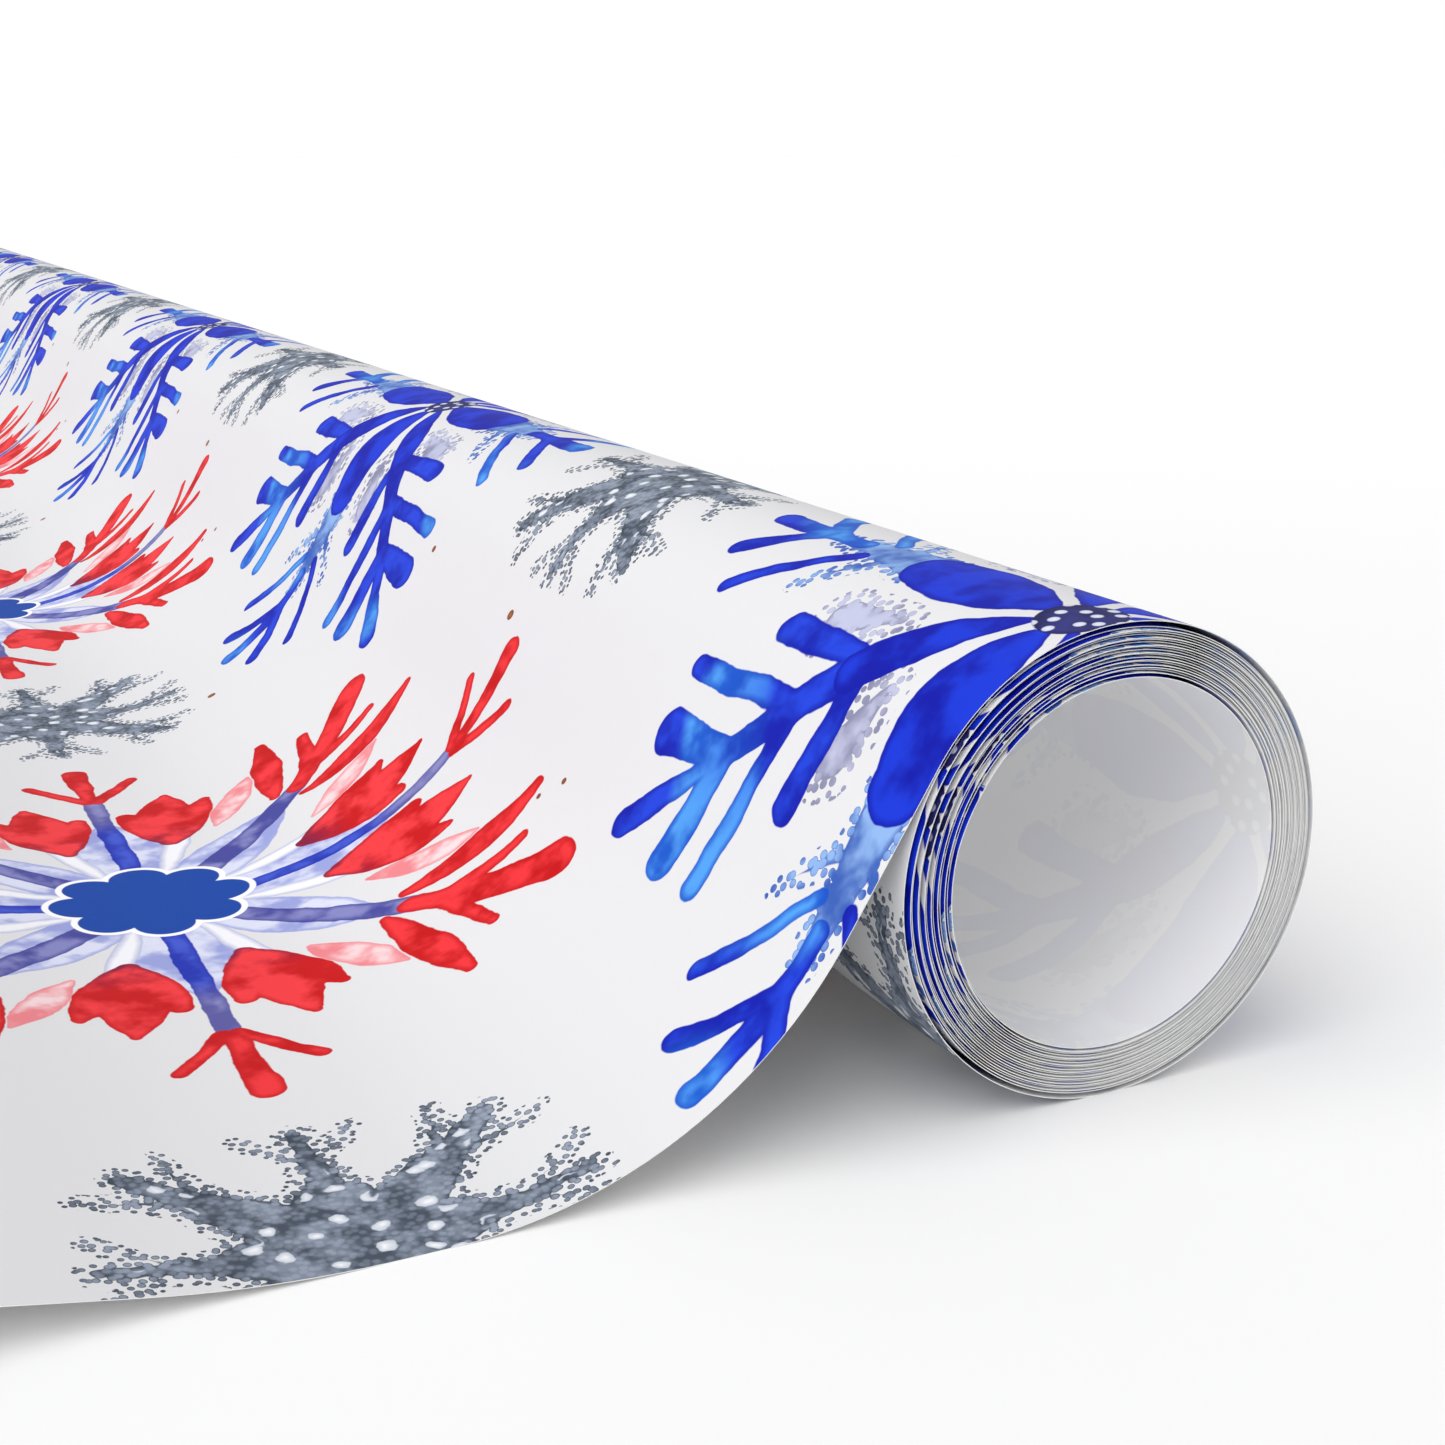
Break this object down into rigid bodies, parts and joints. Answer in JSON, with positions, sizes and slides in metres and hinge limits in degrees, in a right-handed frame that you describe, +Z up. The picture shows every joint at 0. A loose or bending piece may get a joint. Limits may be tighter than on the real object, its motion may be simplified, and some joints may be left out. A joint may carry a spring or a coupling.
{
  "type": "wrapping paper roll",
  "caption": "Coreless roll of gift wrapping paper, its end drawn off over a table and free to lift, with the roll free to turn.",
  "frame": {"origin": "on the roll's axis, at the middle of its width", "axes": "+Z up, +Y along the roll's axis, the drawn sheet leaves the roll towards -X"},
  "size_m": [0.2715, 0.762, 0.0419],
  "materials": {
    "wound_paper": "coated white paper, snowflake print on its outer face",
    "drawn_paper": "coated white paper, snowflake print on its upper face"
  },
  "bodies": {
    "drawn_sheet": {"outer_turn": "drawn_paper", "sheet_sweep": "drawn_paper"},
    "roll": {"inner_turn": "wound_paper", "wound_turns": "wound_paper"},
    "free_end": {"free_end": "drawn_paper"}
  },
  "joints": [
    {"name": "roll_spin", "type": "hinge", "parent": "drawn_sheet", "child": "roll", "pos_m": [0, 0, 0], "axis": [0, -1, 0], "continuous": true},
    {"name": "free_end_lift", "type": "hinge", "parent": "drawn_sheet", "child": "free_end", "pos_m": [-0.06323, 0, -0.02082], "axis": [0, 1, 0], "range_deg": [0, 75]}
  ]
}
